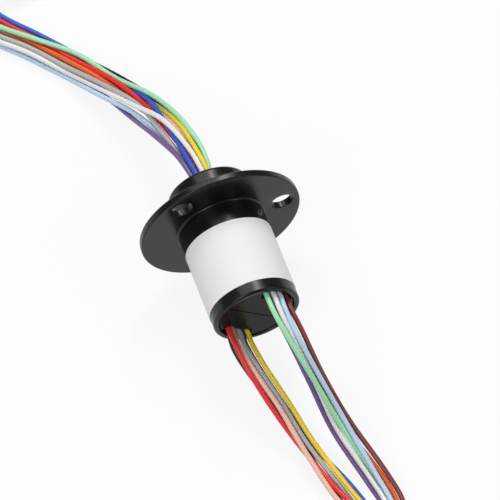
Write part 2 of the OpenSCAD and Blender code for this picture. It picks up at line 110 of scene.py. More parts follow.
class Value:
    """A number socket that takes Python arithmetic; each step is a Math node."""

    def __init__(self, shader: "Shader", socket: bpy.types.NodeSocket) -> None:
        """Wraps an output socket of a shader's tree."""
        self.shader = shader
        self.socket = socket

    def _math(self, operation: str, first: object, second: object = 0.0, clamp: bool = False) -> "Value":
        """Adds one Math node.

        Args:
            operation: The node's operation.
            first: A number or a Value.
            second: A number or a Value.
            clamp: Keeps the result from 0 to 1.

        Returns:
            The node's result.
        """
        made = self.shader.node(
            "ShaderNodeMath", {"operation": operation, "use_clamp": clamp}, {0: first, 1: second}
        )
        return Value(self.shader, made.outputs[0])

    def __add__(self, other: object) -> "Value":
        """self + other."""
        return self._math("ADD", self, other)

    def __radd__(self, other: object) -> "Value":
        """other + self."""
        return self._math("ADD", other, self)

    def __sub__(self, other: object) -> "Value":
        """self - other."""
        return self._math("SUBTRACT", self, other)

    def __rsub__(self, other: object) -> "Value":
        """other - self."""
        return self._math("SUBTRACT", other, self)

    def __mul__(self, other: object) -> "Value":
        """self * other."""
        return self._math("MULTIPLY", self, other)

    def __rmul__(self, other: object) -> "Value":
        """other * self."""
        return self._math("MULTIPLY", other, self)

    def above(self, limit: float, width: float) -> "Value":
        """0 below the limit and 1 past it, with a soft step of that width."""
        return self._math("DIVIDE", self - limit, width, clamp=True)


class Shader:
    """The node tree of one material."""

    def __init__(self, name: str) -> None:
        """Makes the material and finds its Principled node."""
        self.material = bpy.data.materials.new(name)
        self.material.use_nodes = True
        self.tree = self.material.node_tree
        self.surface = self.tree.nodes["Principled BSDF"]
        self._place: bpy.types.NodeSocket | None = None

    def node(self, kind: str, settings: dict | None = None, inputs: dict | None = None) -> bpy.types.Node:
        """Adds a node.

        Args:
            kind: The node's type.
            settings: Its properties.
            inputs: Numbers, colours, Values or sockets, by the input's name or number.

        Returns:
            The new node.
        """
        made = self.tree.nodes.new(kind)
        for name, value in (settings or {}).items():
            setattr(made, name, value)
        for name, value in (inputs or {}).items():
            self.feed(made.inputs[name], value)
        return made

    def feed(self, socket: bpy.types.NodeSocket, value: object) -> None:
        """Sets a socket to a number or colour, or links a Value or socket to it."""
        if isinstance(value, Value):
            value = value.socket
        if isinstance(value, bpy.types.NodeSocket):
            self.tree.links.new(value, socket)
        elif isinstance(value, tuple) and len(value) == 3 and socket.type == "RGBA":
            socket.default_value = (*value, 1)
        else:
            socket.default_value = value

    def finish(self, **sockets: object) -> bpy.types.Material:
        """Feeds the Principled node's sockets, with _ for a space in their names.

        Returns:
            The finished material.
        """
        for name, value in sockets.items():
            self.feed(self.surface.inputs[name.replace("_", " ")], value)
        return self.material

    def place(self) -> bpy.types.NodeSocket:
        """The point's place on the object."""
        if self._place is None:
            self._place = self.node("ShaderNodeTexCoord").outputs["Object"]
        return self._place

    def stretched(self, stretch: Triple) -> bpy.types.NodeSocket:
        """The point's place, scaled along the three axes."""
        return self.node("ShaderNodeMapping", inputs={"Vector": self.place(), "Scale": stretch}).outputs[0]

    def noise(self, size: float, detail: float = 2.0, at: bpy.types.NodeSocket | None = None) -> Value:
        """Smooth noise from 0 to 1 whose patches are about that many metres wide."""
        made = self.node(
            "ShaderNodeTexNoise", inputs={"Vector": at or self.place(), "Scale": 1 / size, "Detail": detail}
        )
        return Value(self, made.outputs["Fac"])

    def specks(self, size: float, share: float) -> Value:
        """1 on small round specks and 0 between them.

        Args:
            size: The distance between two specks, in metres.
            share: A speck's radius as a share of that.
        """
        made = self.node("ShaderNodeTexVoronoi", inputs={"Vector": self.place(), "Scale": 1 / size})
        return 1 - Value(self, made.outputs["Distance"]).above(share, 0.3 * share)

    def blend(self, share: Value, low: object, high: object) -> bpy.types.NodeSocket:
        """A colour between two, by a share from 0 to 1."""
        made = self.node("ShaderNodeMix", {"data_type": "RGBA"}, {"Factor": share, 6: low, 7: high})
        return made.outputs[2]

    def relief(self, height: Value, depth: float) -> bpy.types.NodeSocket:
        """A normal bumped by a height from 0 to 1 that stands for a depth in metres."""
        return self.node("ShaderNodeBump", inputs={"Height": height, "Distance": depth}).outputs["Normal"]


# ------------------------------------------------------------------ finishes


@dataclass(frozen=True)
class Finish:
    """A surface finish that is made into a material once."""

    name: str
    slot: str

    def shade(self, shader: Shader) -> bpy.types.Material:
        """Builds the nodes."""
        raise NotImplementedError

    def material(self) -> bpy.types.Material:
        """The finish's material, made at its first use."""
        return bpy.data.materials.get(self.name) or self.shade(Shader(self.name))


@dataclass(frozen=True)
class Moulding(Finish):
    """Injection-moulded plastic with faint orange peel and a little dust."""

    colour: Triple
    roughness: float
    peel: float = 0.000004
    dust: float = 0.12
    shine: float = 0.3

    def shade(self, shader: Shader) -> bpy.types.Material:
        """Builds the nodes."""
        handled = shader.noise(0.006, 3)
        flecks = shader.specks(0.0016, 0.05) * shader.noise(0.004).above(0.56, 0.1)
        dusty = tuple(min(1.0, c + 0.16) for c in self.colour)
        return shader.finish(
            Base_Color=shader.blend(flecks * self.dust, self.colour, dusty),
            Roughness=self.roughness - 0.05 + 0.1 * handled + 0.2 * flecks,
            Normal=shader.relief(shader.noise(0.0007, 2) + 0.6 * shader.noise(0.005, 1), self.peel),
            Specular_IOR_Level=self.shine,
        )


@dataclass(frozen=True)
class Paper(Finish):
    """White coated paper: fine fibres, and a soft sheen."""

    colour: Triple

    def shade(self, shader: Shader) -> bpy.types.Material:
        """Builds the nodes."""
        fibres = shader.noise(0.00025, 4, shader.stretched((1, 0.4, 1)))
        cloud = shader.noise(0.004, 2)
        shade = tuple(0.93 * c for c in self.colour)
        return shader.finish(
            Base_Color=shader.blend(0.55 * fibres + 0.35 * cloud, shade, self.colour),
            Roughness=0.38 + 0.14 * cloud,
            Normal=shader.relief(fibres + 2 * cloud, 0.000006),
            Coat_Weight=0.12,
            Coat_Roughness=0.25,
        )


@dataclass(frozen=True)
class Jacket(Finish):
    """A lead's glossy PVC, with slow changes of shade and rub marks."""

    colour: Triple

    def shade(self, shader: Shader) -> bpy.types.Material:
        """Builds the nodes."""
        slow = shader.noise(0.007, 2)
        rubbed = shader.noise(0.0012, 3).above(0.62, 0.12)
        deep = tuple(0.88 * c for c in self.colour)
        return shader.finish(
            Base_Color=shader.blend(slow, deep, self.colour),
            Roughness=0.3 + 0.12 * slow + 0.12 * rubbed,
            Normal=shader.relief(shader.noise(0.0009, 2) + 0.5 * rubbed, 0.00001),
            Subsurface_Weight=0.04,
            Subsurface_Scale=0.0006,
        )


@dataclass(frozen=True)
class Metal(Finish):
    """Ground, plated or turned metal."""

    colour: Triple
    roughness: float
    lines: Triple = (1, 1, 1)

    def shade(self, shader: Shader) -> bpy.types.Material:
        """Builds the nodes."""
        grain = shader.noise(0.0004, 3, shader.stretched(self.lines))
        stain = shader.noise(0.002, 2)
        dark = tuple(0.8 * c for c in self.colour)
        return shader.finish(
            Base_Color=shader.blend(0.7 * grain + 0.3 * stain, dark, self.colour),
            Metallic=1.0,
            Roughness=self.roughness + 0.1 * grain + 0.06 * stain,
            Normal=shader.relief(grain, 0.000003),
        )


@dataclass(frozen=True)
class Resin(Finish):
    """Cast resin with a skin that pulls a little and holds a few bubbles."""

    colour: Triple

    def shade(self, shader: Shader) -> bpy.types.Material:
        """Builds the nodes."""
        pull = shader.noise(0.0018, 2)
        bubbles = shader.specks(0.0009, 0.12)
        light = tuple(min(1.0, 1.6 * c) for c in self.colour)
        return shader.finish(
            Base_Color=shader.blend(0.6 * pull + 0.4 * bubbles, self.colour, light),
            Roughness=0.16 + 0.12 * pull,
            Normal=shader.relief(pull - 0.3 * bubbles, 0.00006),
        )


@dataclass(frozen=True)
class Laminate(Finish):
    """A board's solder mask over glass cloth."""

    colour: Triple

    def shade(self, shader: Shader) -> bpy.types.Material:
        """Builds the nodes."""
        weave = shader.noise(0.0003, 1, shader.stretched((1, 3, 1))) * shader.noise(0.0003, 1)
        light = tuple(1.5 * c for c in self.colour)
        return shader.finish(
            Base_Color=shader.blend(weave, self.colour, light),
            Roughness=0.32 + 0.2 * weave,
            Normal=shader.relief(weave, 0.00001),
        )


class Colour(Enum):
    """The twelve jacket colours."""

    BLACK = tint(26, 26, 28)
    BROWN = tint(132, 64, 54)
    RED = tint(240, 50, 47)
    ORANGE = tint(238, 104, 40)
    YELLOW = tint(252, 222, 50)
    GREEN = tint(172, 241, 192)
    BLUE = tint(40, 92, 206)
    PURPLE = tint(124, 97, 157)
    GREY = tint(190, 190, 186)
    WHITE = tint(244, 244, 242)
    PINK = tint(254, 204, 186)
    LIGHT_BLUE = tint(198, 225, 252)

    def finish(self) -> Jacket:
        """The jacket's finish."""
        word = self.name.lower()
        return Jacket(f"jacket_{word}", f"lead_{word}", self.value)


HOUSING = Moulding("housing_moulding", "housing_plastic", (0.007, 0.007, 0.008), 0.24)
PLUG = Moulding("plug_moulding", "housing_plastic", (0.007, 0.007, 0.0075), 0.3, 0.000006, shine=0.1)
CARRIER = Moulding("carrier_moulding", "carrier_plastic", (0.03, 0.03, 0.032), 0.5)
ROTOR = Moulding("rotor_moulding", "rotor_plastic", (0.016, 0.016, 0.017), 0.4)
TIE = Moulding("tie_nylon", "tie_plastic", (0.014, 0.014, 0.014), 0.42)
LABEL = Paper("label_paper", "label_paper", tint(240, 241, 243))
EXIT_RESIN = Resin("exit_resin", "potting_resin", (0.012, 0.011, 0.011))
POTTING = Resin("potting_resin", "potting_resin", (0.05, 0.035, 0.02))
RING_STEEL = Metal("ring_steel", "bearing_steel", (0.62, 0.63, 0.64), 0.22, (1, 6, 1))
BALL_STEEL = Metal("ball_steel", "ball_steel", (0.75, 0.76, 0.77), 0.08)
CAGE_BRASS = Metal("cage_brass", "cage_brass", (0.6, 0.45, 0.18), 0.3)
GOLD_WIRE = Metal("gold_wire", "brush_gold", (0.82, 0.6, 0.24), 0.18)
GOLD_RING = Metal("gold_ring", "ring_gold", (0.85, 0.62, 0.22), 0.15, (1, 8, 1))
CLIP_STEEL = Metal("clip_steel", "circlip_steel", (0.28, 0.28, 0.3), 0.32)
TINNED = Metal("tinned_copper", "bearing_steel", (0.72, 0.72, 0.7), 0.28)
BOARD = Laminate("board_laminate", "board_laminate", (0.02, 0.14, 0.05))

NODE_FINISHES: dict[str, Finish] = {
    "end_plug_a": PLUG,
    "end_plug_b": PLUG,
    "rear_bearing_carrier": CARRIER,
    "front_bearing_outer_ring": RING_STEEL,
    "front_bearing_inner_ring": RING_STEEL,
    "front_bearing_balls": BALL_STEEL,
    "front_bearing_cage": CAGE_BRASS,
    "rear_bearing_outer_ring": RING_STEEL,
    "rear_bearing_inner_ring": RING_STEEL,
    "rear_bearing_balls": BALL_STEEL,
    "rear_bearing_cage": CAGE_BRASS,
    "brush_board_a": BOARD,
    "brush_board_b": BOARD,
    "brush_wires_a": GOLD_WIRE,
    "brush_wires_b": GOLD_WIRE,
    "rotor_core": ROTOR,
    "rotor_potting": POTTING,
    "slip_rings": GOLD_RING,
    "circlip": CLIP_STEEL,
}


# ------------------------------------------------------------------ mesh kit


def finished(name: str, mesh: bmesh.types.BMesh, finish: Finish, body: str) -> bpy.types.Object:
    """Makes a piece of a bmesh and frees the bmesh.

    Args:
        name: The piece's name.
        mesh: Its shape, in the frame.
        finish: Its finish.
        body: The body that it rides on.

    Returns:
        The new object.
    """
    data = bpy.data.meshes.new(name)
    mesh.to_mesh(data)
    mesh.free()
    data.shade_smooth()
    data.materials.append(finish.material())
    piece = bpy.data.objects.new(name, data)
    bpy.context.scene.collection.objects.link(piece)
    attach(piece, body)
    LOG.info("%s: %d faces on %s", name, len(data.polygons), body)
    return piece


def even_normals(piece: bpy.types.Object) -> None:
    """Weights the normals by face, so that a flat stays flat next to its fillet."""
    modifier = piece.modifiers.new("even_normals", "WEIGHTED_NORMAL")
    modifier.weight = 90
    modifier.keep_sharp = True


def rounded(corner: Pair, start: Pair, end: Pair, radius: float, steps: int) -> list[Pair]:
    """Points of a corner's rounding between two square directions.

    Args:
        corner: The square corner, as (radius, y).
        start: The unit direction from the corner back along the profile.
        end: The unit direction onwards.
        radius: The rounding's radius.
        steps: Its number of pieces.

    Returns:
        The points, from the start's side to the end's.
    """
    at, back, on = Vector(corner), Vector(start), Vector(end)
    centre = at + radius * (back + on)
    return [
        tuple(centre - radius * (math.cos(t) * on + math.sin(t) * back))
        for t in (k / steps * math.pi / 2 for k in range(steps + 1))
    ]


def spun(
    mesh: bmesh.types.BMesh, profile: list[Pair], steps: int, span: float = TURN, start: float = 0.0
) -> None:
    """Spins a profile round the rotation axis.

    Args:
        mesh: Where the faces go.
        profile: Its points, as (radius, y) in metres.
        steps: Number of pieces round the axis.
        span: The angle to spin through.
        start: The angle that it starts at, from +X towards +Z.
    """
    turned = Matrix.Rotation(-start, 3, "Y")
    points = [mesh.verts.new(turned @ Vector((r, y, 0))) for r, y in profile]
    edges = [mesh.edges.new(pair) for pair in zip(points, points[1:])]
    bmesh.ops.spin(
        mesh, geom=points + edges, cent=(0, 0, 0), axis=(0, -1, 0), angle=span, steps=steps,
        use_merge=math.isclose(span, TURN),
    )


def ring(mesh: bmesh.types.BMesh, radius: float, sides: int, where: Matrix) -> list[bmesh.types.BMVert]:
    """Adds an open circle and gives its points."""
    made = bmesh.ops.create_circle(mesh, cap_ends=False, segments=sides, radius=radius, matrix=where)
    return made["verts"]


def edges_of(points: list[bmesh.types.BMVert]) -> list[bmesh.types.BMEdge]:
    """The edges that meet at some points."""
    return list({edge for point in points for edge in point.link_edges})


def open_edges(mesh: bmesh.types.BMesh) -> list[bmesh.types.BMEdge]:
    """The edges with a face on one side only."""
    return [edge for edge in mesh.edges if edge.is_boundary]


def block(mesh: bmesh.types.BMesh, at: Vector, size: Triple, edge: float) -> None:
    """Adds a block with rounded edges."""
    where = Matrix.Translation(at) @ Matrix.Diagonal((*size, 1))
    corners = bmesh.ops.create_cube(mesh, size=1, matrix=where)["verts"]
    bmesh.ops.bevel(mesh, geom=edges_of(corners), offset=edge, segments=3, profile=0.5, affect="EDGES")


def closed(mesh: bmesh.types.BMesh, sides: int = 0) -> bmesh.types.BMesh:
    """Merges doubles, fills the holes and turns the faces outwards.

    Args:
        mesh: The mesh.
        sides: The most sides that a filled hole may have, or 0 for any number.

    Returns:
        The same mesh.
    """
    bmesh.ops.remove_doubles(mesh, verts=mesh.verts, dist=TOUCH)
    bmesh.ops.holes_fill(mesh, edges=open_edges(mesh), sides=sides)
    bmesh.ops.recalc_face_normals(mesh, faces=mesh.faces)
    return mesh


# ------------------------------------------------------------------ leads


@dataclass(frozen=True)
class Lead:
    """One lead: its colour, its exit, and its lane at each station of its bundle's route.

    The exit's radius is in millimetres and its angle in degrees from +X towards
    +Z. A lane is (across, up), in spacings of two leads.
    """

    colour: Colour
    radius: float
    angle: float
    lanes: tuple[Pair, ...]


@dataclass(frozen=True)
class Coil:
    """The rest of the leads, wound clockwise seen from above.

    Attributes:
        centre: The coil's axis.
        side: The X side that the leads come in on.
        heading: The way that they run along Y.
        middle: The radius of the middle of the winding.
        lane: The spacing of two leads.
        inmost: Lanes from the middle to the inmost lead.
        lift: Height of the first level's middle above the floor.
        climb: The length over which a lead climbs to the next level.
        early: The angle by which the climb is over before the incoming leads.
        floor: The floor's height.
    """

    centre: Vector
    side: int
    heading: int
    middle: float = 15.5 * MM
    lane: float = 1.45 * MM
    inmost: float = 2.5
    lift: float = 1.8 * MM
    climb: float = 15 * MM
    early: float = 0.12
    floor: float = -20.5 * MM

    def run_in(self, across: float, up: float, ahead: float) -> Vector:
        """A point on the straight run, a distance ahead of the coil."""
        x = self.centre.x + self.side * (self.middle - across * self.lane)
        return Vector((x, self.centre.y - self.heading * ahead, self.height(up, 0)))

    def height(self, up: float, level: float) -> float:
        """Height of a row of leads on a level of the coil."""
        return self.floor + self.lift + (up + 2 * level) * self.lane

    def wound(self, across: float, up: float, angle: float) -> Vector:
        """A point on the turns, an angle on from the run."""
        radius = self.middle - across * self.lane
        inner = self.middle - self.inmost * self.lane
        rise_end = TURN - math.acos(min(1.0, inner / radius)) - self.early
        rise = self.climb / radius
        turns, past = divmod(angle - (rise_end - rise), TURN)
        share = min(1.0, past / rise)
        level = 0.0 if turns < 0 else turns + share * share * (3 - 2 * share)
        around = (math.pi if self.side < 0 else 0) - angle
        return Vector((
            self.centre.x + radius * math.cos(around),
            self.centre.y + radius * math.sin(around),
            self.height(up, level),
        ))


@dataclass
class Bundle:
    """The leads that leave one exit together, wound on a coil at their end.

    Attributes:
        name: The start of the pieces' names.
        body: The body that the leads ride on.
        route: The bundle's middle, from its exit to the coil's run-in.
        leads: Its leads.
        coil: The coil that they end in.
        coil_across: Lanes that the bundle is moved by where two share a coil.
        start_y: Where the leads start, inside the exit.
        exit_y: Where they come out.
        length: A lead's length.
        stripped: The length of its bare end.
        diameter: Its outside diameter.
        run_stops: The curve's points on the straight run, as shares of it.
        curve_steps: Pieces between two points of the curve.
        coil_step: The angle of one piece of the coil.
        made: The jackets, once they are built.
        lines: The centre lines, once they are built.
    """

    name: str
    body: str
    route: list[Vector]
    leads: tuple[Lead, ...]
    coil: Coil
    coil_across: float
    start_y: float
    exit_y: float
    length: float = 250 * MM
    stripped: float = 5 * MM
    diameter: float = 1.3 * MM
    run_stops: Triple = (0.7, 0.35, 0)
    curve_steps: int = 6
    coil_step: float = math.radians(6)
    made: list[bpy.types.Object] = field(default_factory=list)
    lines: list[list[Vector]] = field(default_factory=list)

    def heading(self, index: int) -> Vector:
        """The route's direction at a station; the last one runs straight into the coil."""
        if index == len(self.route) - 1:
            return Vector((0, self.coil.heading, 0))
        return (self.route[index + 1] - self.route[max(index - 1, 0)]).normalized()

    def control_points(self, lead: Lead) -> list[Vector]:
        """A lead's points from its exit to the end of its straight run."""
        angle = math.radians(lead.angle)
        x, z = lead.radius * MM * math.cos(angle), lead.radius * MM * math.sin(angle)
        points = [Vector((x, self.start_y, z)), Vector((x, self.exit_y, z))]
        for index, (across, up) in enumerate(lead.lanes):
            ahead = self.heading(index)
            side = ahead.cross(Vector((0, 0, 1))).normalized()
            points.append(self.route[index] + self.coil.lane * (across * side + up * side.cross(ahead)))
        across, up = lead.lanes[-1]
        run = abs(self.route[-1].y - self.coil.centre.y)
        return points + [
            self.coil.run_in(across + self.coil_across, up, share * run) for share in self.run_stops
        ]

    def centre_line(self, lead: Lead) -> list[Vector]:
        """A lead's whole line, stopped at its length."""
        across, up = lead.lanes[-1]
        line = smooth(self.control_points(lead), self.curve_steps)
        left = self.length - along(line)
        turn = self.coil_step
        while left > 0:
            stride = self.coil.wound(across + self.coil_across, up, turn) - line[-1]
            line.append(line[-1] + min(1.0, left / stride.length) * stride)
            left -= stride.length
            turn += self.coil_step
        return line

    def build(self) -> None:
        for lead in self.leads:
            word = lead.colour.name.lower()
            line = self.centre_line(lead)
            jacket, core = cut_back(line, self.stripped)
            tip = stripped_end(f"{self.name}_tip_{word}", core, self.body)
            piece = tube(f"{self.name}_{word}", jacket, self.diameter, lead.colour.finish(), self.body)
            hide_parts(f"{self.body}_lead_{word}")
            line[0] + Vector((0, self.exit_y - self.start_y, 0))
            self.made.append(piece)
            self.lines.append(line)

    def replace_coil(self) -> None:
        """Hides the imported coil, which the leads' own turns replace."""
        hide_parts(f"{self.body}_lead_coil")


def smooth(points: list[Vector], steps: int) -> list[Vector]:
    """A Catmull-Rom curve through points, with steps pieces between two of them."""
    curve = []
    for index in range(len(points) - 1):
        a, b, c, d = (points[min(max(index + k, 0), len(points) - 1)] for k in (-1, 0, 1, 2))
        for t in (k / steps for k in range(steps)):
            curve.append(0.5 * (2 * b + (c - a) * t + (2 * a - 5 * b + 4 * c - d) * t * t
                                + (3 * b - a - 3 * c + d) * t * t * t))
    return curve + [points[-1]]


def along(line: list[Vector]) -> float:
    """The length of a line of points."""
    return sum((b - a).length for a, b in zip(line, line[1:]))


def cut_back(line: list[Vector], length: float) -> tuple[list[Vector], list[Vector]]:
    """Splits a line a length before its end.

    Returns:
        The points up to the cut, and the points from it.
    """
    jacket, core = list(line), [line[-1]]
    while (jacket[-1] - jacket[-2]).length < length:
        length -= (jacket[-1] - jacket[-2]).length
        jacket.pop()
        core.insert(0, jacket[-1])
    cut = jacket[-1] + (jacket[-2] - jacket[-1]).normalized() * length
    jacket[-1] = cut
    return jacket, [cut] + core


def tube(name: str, line: list[Vector], diameter: float, finish: Finish, body: str) -> bpy.types.Object:
    """Makes a round cord as a curve.

    Args:
        name: The piece's name.
        line: Its centre line.
        diameter: Its outside diameter.
        finish: Its finish.
        body: The body that it rides on.

    Returns:
        The curve's object.
    """
    data = bpy.data.curves.new(name, "CURVE")
    data.dimensions = "3D"
    data.bevel_depth = diameter / 2
    data.bevel_resolution = 3
    data.use_fill_caps = True
    spline = data.splines.new("POLY")
    spline.points.add(len(line) - 1)
    for point, at in zip(spline.points, line):
        point.co = (*at, 1)
    spline.use_smooth = True
    data.materials.append(finish.material())
    piece = bpy.data.objects.new(name, data)
    bpy.context.scene.collection.objects.link(piece)
    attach(piece, body)
    LOG.info("%s: %.0f mm on %s", name, along(line) / MM, body)
    return piece


def stripped_end(name: str, line: list[Vector], body: str) -> bpy.types.Object:
    """Makes a lead's stripped end, seven tinned strands with a slight twist.

    Args:
        name: The piece's name.
        line: The lead's last points, from the cut jacket to the end.
        body: The body that it rides on.

    Returns:
        The new object.
    """
    outer_strands, strand_r, spacing, sides = 6, 0.06 * MM, 2.1, 6
    twist, steps, inside = 1.5 * TURN, 14, 0.4 * MM
    reach = line[-1] - line[0]
    mesh = bmesh.new()
    for index in range(outer_strands + 1):
        off = spacing * strand_r if index else 0
        angle = index * TURN / outer_strands
        where = Matrix.Translation((off * math.cos(angle), off * math.sin(angle), -inside))
        points = ring(mesh, strand_r, sides, where)
        bmesh.ops.spin(
            mesh, geom=points + edges_of(points), cent=(0, 0, 0), axis=(0, 0, 1), angle=twist, steps=steps,
            dvec=(0, 0, (reach.length + inside) / steps),
        )
    where = Matrix.Translation(line[0]) @ reach.to_track_quat("Z", "Y").to_matrix().to_4x4()
    bmesh.ops.transform(mesh, matrix=where, verts=mesh.verts)
    return finished(name, closed(mesh, sides), TINNED, body)


ROTOR_ROUTE = mm(
    (0, 13, 0), (-0.5, 22, -0.8), (-2.4, 33, -4), (-5.4, 44, -9.4), (-10, 55, -14.4),
    (-16.6, 66, -17.2), (-24.4, 75.5, -18.2), (-31.6, 84, -18.6), (-36.5, 94, -18.7),
)
LEFT_ROUTE = mm(
    (-5.3, -31, -6.4), (-3.6, -37, -8.6), (-0.4, -46, -13.2), (2.7, -56, -17), (6.4, -69, -18.4),
    (9.2, -78, -18.7), (10.6, -87, -18.7),
)
RIGHT_ROUTE = mm(
    (5.8, -31, 6), (6.5, -37, 3.4), (8.4, -46, -4), (11.5, -56, -12.4), (16, -69, -17.8),
    (17.2, -78, -18.6), (15, -87, -18.7),
)
ROTOR_EXIT = (8 * MM, 11.7 * MM)
STATOR_EXIT = (-24.5 * MM, -27.5 * MM)
ROTOR_COIL = Coil(Vector((-21, 110, 0)) * MM, side=-1, heading=1)
STATOR_COIL = Coil(Vector((-2.8, -103, 0)) * MM, side=1, heading=-1)
STATOR_SHARE = 1.5  # lanes by which each stator bundle keeps to its side of the coil
ROTOR_TIE_ANGLE = 151
STATOR_TIE_ANGLE = -29

ROTOR_LEADS = (
    Lead(Colour.GREEN, 2.15, 0, (
        (1.54, 0), (2.2, 0.7), (2.4, 0.9), (2.2, 1.2), (1.45, 0.85), (1.6, 1.3), (0.6, 1.6), (-0.1, 1.4),
        (-0.5, 0.5),
    )),
    Lead(Colour.YELLOW, 2.15, 40, (
        (1.18, 0.99), (1.1, 1.1), (1.6, 0.45), (1.7, -0.3), (1.05, -1.15), (1, -0.85), (1.4, -0.5),
        (1.45, -0.5), (1.5, -0.5),
    )),
    Lead(Colour.WHITE, 2.15, 80, (
        (0.27, 1.52), (0, 1.5), (-0.6, 2.1), (-1.6, 1.45), (-1.6, 0.4), (-1.75, -0.1), (-1.8, 0.5),
        (-2.3, 0.5), (-2.5, 0.5),
    )),
    Lead(Colour.BLUE, 2.15, 120, (
        (-0.77, 1.33), (-1, 0.9), (-0.25, 1.1), (1.3, 0.75), (1.2, -0.1), (1.9, 0.25), (2.3, 0.5), (2.4, 0.5),
        (2.5, 0.5),
    )),
    Lead(Colour.PURPLE, 2.15, 160, (
        (-1.45, 0.53), (-2.1, 0.4), (-2.8, -0.2), (-2.6, -0.8), (-1.75, -0.95), (-1.3, -0.9), (-1.4, -0.5),
        (-1.5, -0.5), (-1.5, -0.5),
    )),
    Lead(Colour.GREY, 2.15, 200, (
        (-1.45, -0.53), (-1.4, -0.5), (-1.6, 0.5), (-0.7, 0.85), (-0.9, 1), (-1.2, 0.65), (-0.85, 0.6),
        (-1.3, 0.6), (-1.5, 0.5),
    )),
    Lead(Colour.LIGHT_BLUE, 2.15, 240, (
        (-0.77, -1.33), (-1.1, -1.5), (-1.7, -0.6), (-2.1, 0.2), (-2.45, -0.15), (-2.25, -0.95), (-2.3, -0.5),
        (-2.4, -0.5), (-2.5, -0.5),
    )),
    Lead(Colour.BROWN, 2.15, 280, (
        (0.27, -1.52), (1, -1.2), (1, -1.5), (0.2, -1.4), (-0.8, -0.2), (-0.6, -0.2), (-0.5, -0.4),
        (-0.5, -0.5), (-0.5, -0.5),
    )),
    Lead(Colour.BLACK, 2.15, 320, (
        (1.18, -0.99), (1.6, -0.3), (2.1, -0.75), (2.7, -0.4), (2.4, 0.1), (2.4, -0.7), (2.3, -0.5),
        (2.4, -0.5), (2.5, -0.5),
    )),
    Lead(Colour.PINK, 0.78, 20, (
        (0.52, 0.19), (0.5, 0.1), (0.7, 0.2), (0.75, -0.4), (0.35, -0.45), (0.35, -0.2), (0.4, -0.5),
        (0.5, -0.5), (0.5, -0.5),
    )),
    Lead(Colour.RED, 0.78, 140, (
        (-0.43, 0.36), (-0.5, 0.1), (-0.5, 0.1), (0.3, 0.45), (0.65, 1.3), (0.65, 0.75), (1.35, 0.5),
        (1.5, 0.5), (1.5, 0.5),
    )),
    Lead(Colour.ORANGE, 0.78, 260, (
        (-0.1, -0.55), (-0.1, -0.95), (0.3, -0.75), (-0.25, -0.4), (0, 0.5), (-0.35, 1.2), (0.3, 0.5),
        (0.55, 0.5), (0.5, 0.5),
    )),
)
LEFT_LEADS = (
    Lead(Colour.RED, 8, 204, (
        (1.35, 1.9), (1.65, 1.3), (1.7, 0.75), (1.2, 0.3), (0.6, 0.4), (0, 0.6), (0, 0.5),
    )),
    Lead(Colour.PINK, 8, 220.5, (
        (0.6, 0.8), (0.7, 0.9), (0.8, 1.3), (1.3, 1.4), (1.7, 0.5), (1.4, 0.5), (1, 0.5),
    )),
    Lead(Colour.GREY, 8, 236.5, (
        (-0.6, -0.1), (-0.4, 0.2), (-0.2, 0.6), (0.1, 0.7), (-0.4, -0.3), (-0.1, -0.4), (0, -0.5),
    )),
    Lead(Colour.YELLOW, 8, 253, (
        (-2.1, -0.7), (-1.6, 0.1), (-1.3, 0.7), (-1, 0.8), (-1.1, 0.6), (-1.1, 0.5), (-1, 0.5),
    )),
    Lead(Colour.BLACK, 8.75, 212.3, (
        (1.6, 0.8), (1.3, -0.2), (0.9, -0.1), (0.5, -0.5), (1, -0.6), (1, -0.6), (1, -0.5),
    )),
    Lead(Colour.BLUE, 8.75, 244.7, (
        (-1.2, -1.15), (-0.9, -0.8), (-0.7, -0.4), (-0.8, -0.3), (-1.9, -0.2), (-1.7, -0.4), (-1, -0.5),
    )),
)
RIGHT_LEADS = (
    Lead(Colour.GREEN, 8.3, 73, (
        (2.3, 1.5), (1.8, 1.4), (0.9, 1.4), (0.35, 0.85), (0.3, -0.25), (0.2, -0.15), (0, -0.5),
    )),
    Lead(Colour.WHITE, 8.3, 59, (
        (1.1, 0.9), (0.95, 0.45), (0.5, 0.3), (1.1, 0.25), (1.35, 0.4), (1.2, 0.6), (1, 0.5),
    )),
    Lead(Colour.LIGHT_BLUE, 8.3, 45, (
        (0.1, 0.3), (0.1, 0.8), (-0.4, 0.9), (-0.5, 1.25), (0.4, 1.15), (0.3, 0.9), (0, 0.5),
    )),
    Lead(Colour.BROWN, 8.3, 25, (
        (-1.2, -1.5), (-1.3, -0.6), (-1.2, 0.4), (-1.5, 0.4), (-1.5, 0.5), (-1.6, 0.35), (-1, 0.5),
    )),
    Lead(Colour.PURPLE, 7.3, 66, (
        (2, 0.3), (1.5, -0.4), (1.3, -0.2), (1.6, -0.65), (1.9, -0.5), (1.6, -0.4), (1, -0.5),
    )),
    Lead(Colour.ORANGE, 7.3, 33, (
        (-0.1, -1.2), (-0.2, -0.8), (-0.4, -0.2), (-0.4, -0.2), (-0.65, 0.2), (-0.75, -0.1), (-1, -0.5),
    )),
)


# ------------------------------------------------------------------ housing


@dataclass(frozen=True)
class Mark:
    """A small ellipsoid that stands out of the body, in millimetres and degrees."""

    angle: float
    sunk: float
    y: float
    size: Triple

    def add(self, mesh: bmesh.types.BMesh, body_r: float) -> None:
        """Adds the mark to the shell of a body of that radius."""
        where = (
            Matrix.Rotation(-math.radians(self.angle), 4, "Y")
            @ Matrix.Translation((body_r - self.sunk * MM, self.y * MM, 0))
            @ Matrix.Diagonal((*(side * MM for side in self.size), 1))
        )
        bmesh.ops.create_uvsphere(mesh, u_segments=20, v_segments=12, radius=0.5, matrix=where)


PIP = Mark(34.5, 0.15, -3.2, (0.8, 0.8, 0.8))
PARTING_RIB = Mark(134, 0.02, -2.8, (0.24, 4.4, 0.3))


